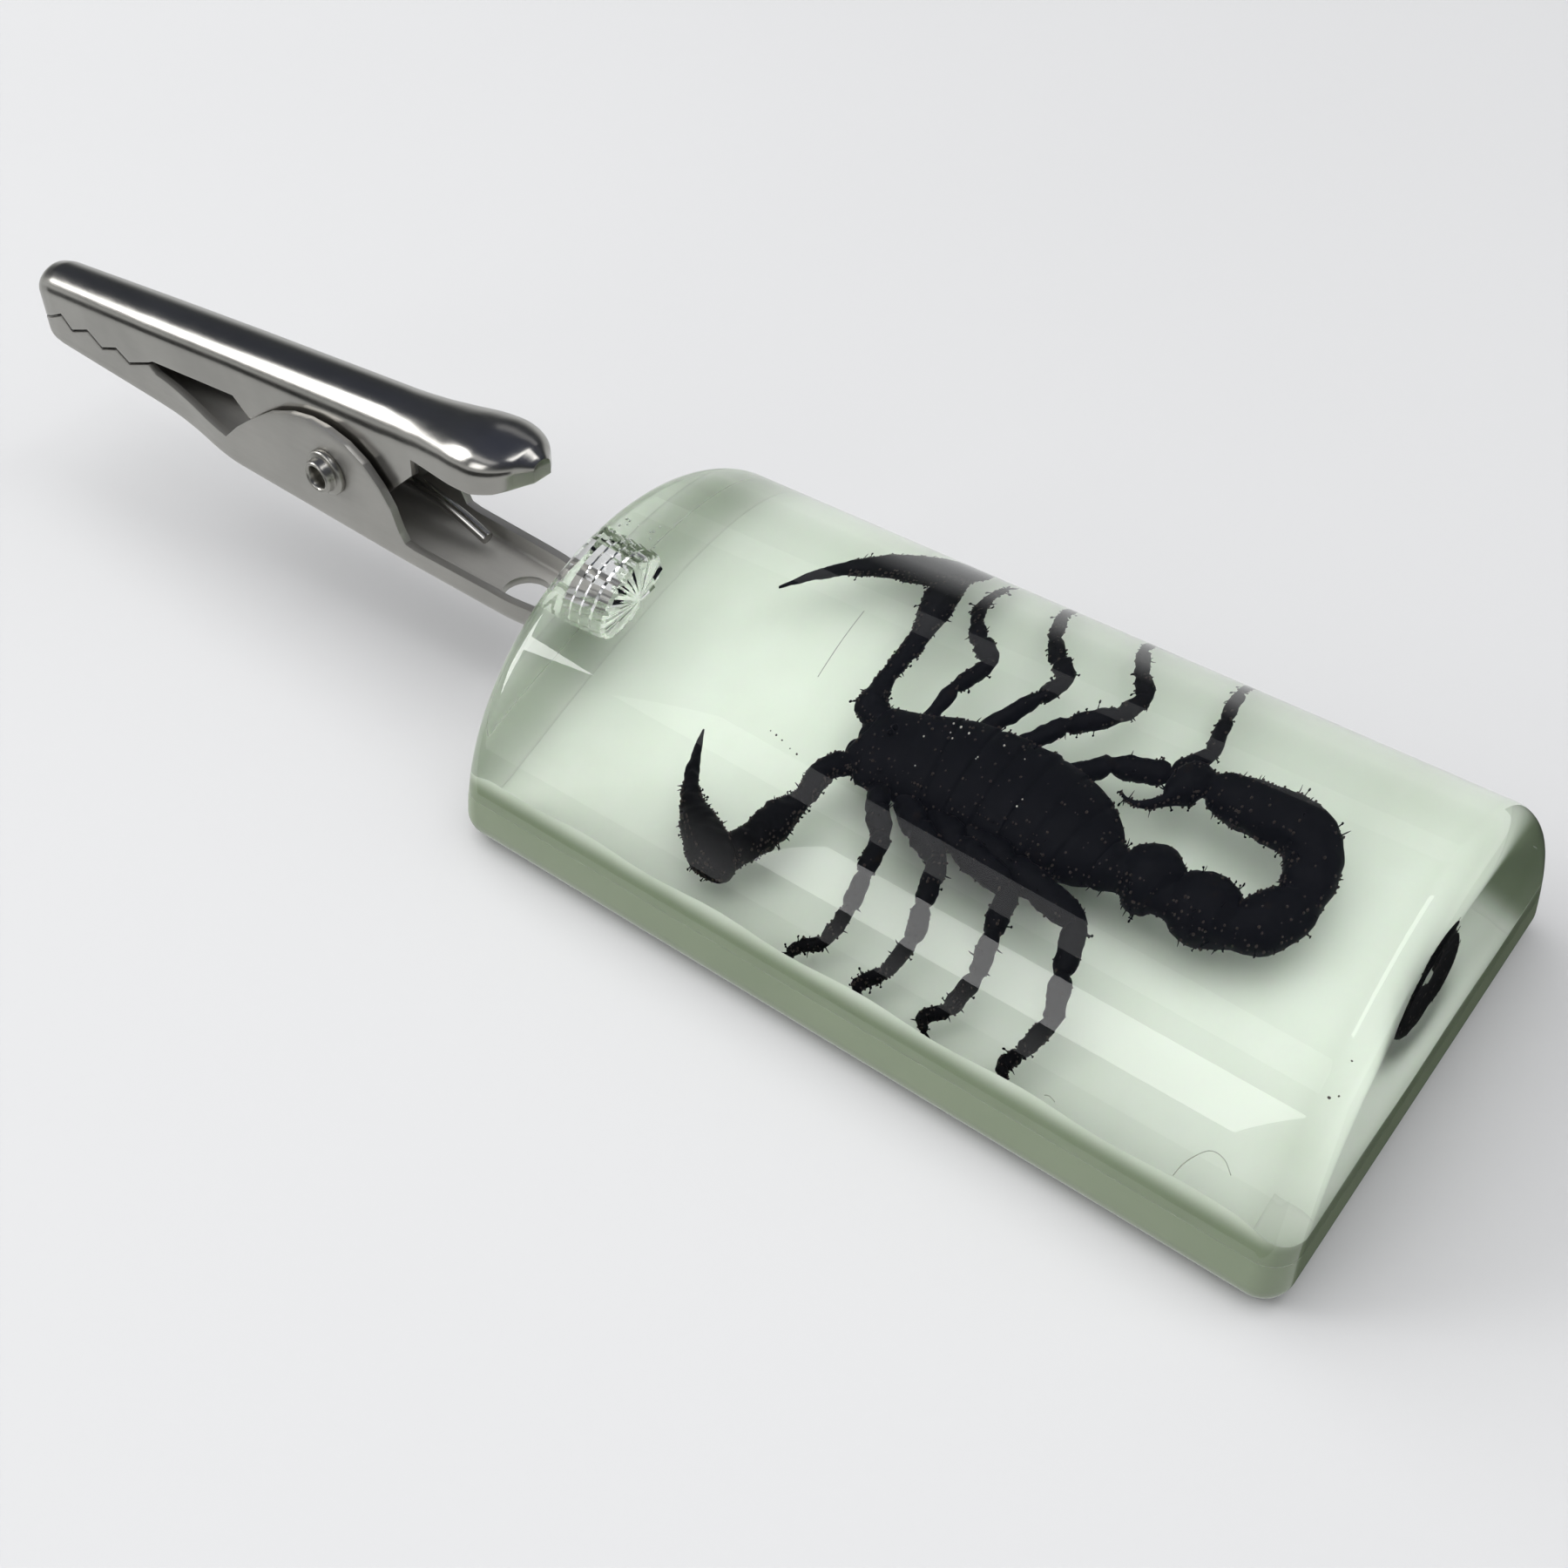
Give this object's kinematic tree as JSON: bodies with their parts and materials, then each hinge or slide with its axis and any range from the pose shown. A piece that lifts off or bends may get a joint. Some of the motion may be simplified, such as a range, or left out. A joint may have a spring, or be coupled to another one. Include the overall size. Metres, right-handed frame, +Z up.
{
  "type": "scorpion in resin block on an alligator clip",
  "caption": "Dried scorpion cast in a clear half-round resin bar on a pale green glow backing, with a sprung alligator clip glued into one end.",
  "frame": {"origin": "middle of the bar's flat base, on the surface it rests on", "axes": "+X along the bar away from the clip, +Z up from the flat base, +Y to the left of +X"},
  "size_m": [0.0882, 0.0262, 0.0152],
  "materials": {
    "cuticle": "near-black, grainy cuticle with a faint sheen, sealed in resin",
    "clear_resin": "polished clear casting resin with a slight green tint",
    "glow_layer": "opaque pale green glow-in-the-dark resin, polished with the bar",
    "nickel_plate": "bright nickel plating on pressed steel, lightly brushed",
    "rivet_metal": "nickel-plated tubular rivet",
    "spring_wire": "drawn spring wire"
  },
  "bodies": {
    "block": {"scorpion": "cuticle", "resin_upper": "clear_resin", "resin_lower": "clear_resin", "glow_backing": "glow_layer", "clip_lower_jaw": "nickel_plate", "rivet": "rivet_metal", "torsion_spring": "spring_wire"},
    "upper_jaw": {"clip_upper_jaw": "nickel_plate"}
  },
  "joints": [
    {"name": "jaw_hinge", "type": "hinge", "parent": "block", "child": "upper_jaw", "pos_m": [-0.0391, -0.0017, 0.00958], "axis": [0, 1, 0], "range_deg": [0, 26], "stiffness_Nm_per_rad": 0.06, "springref_deg": -51.57, "deforming": ["torsion_spring"]}
  ]
}
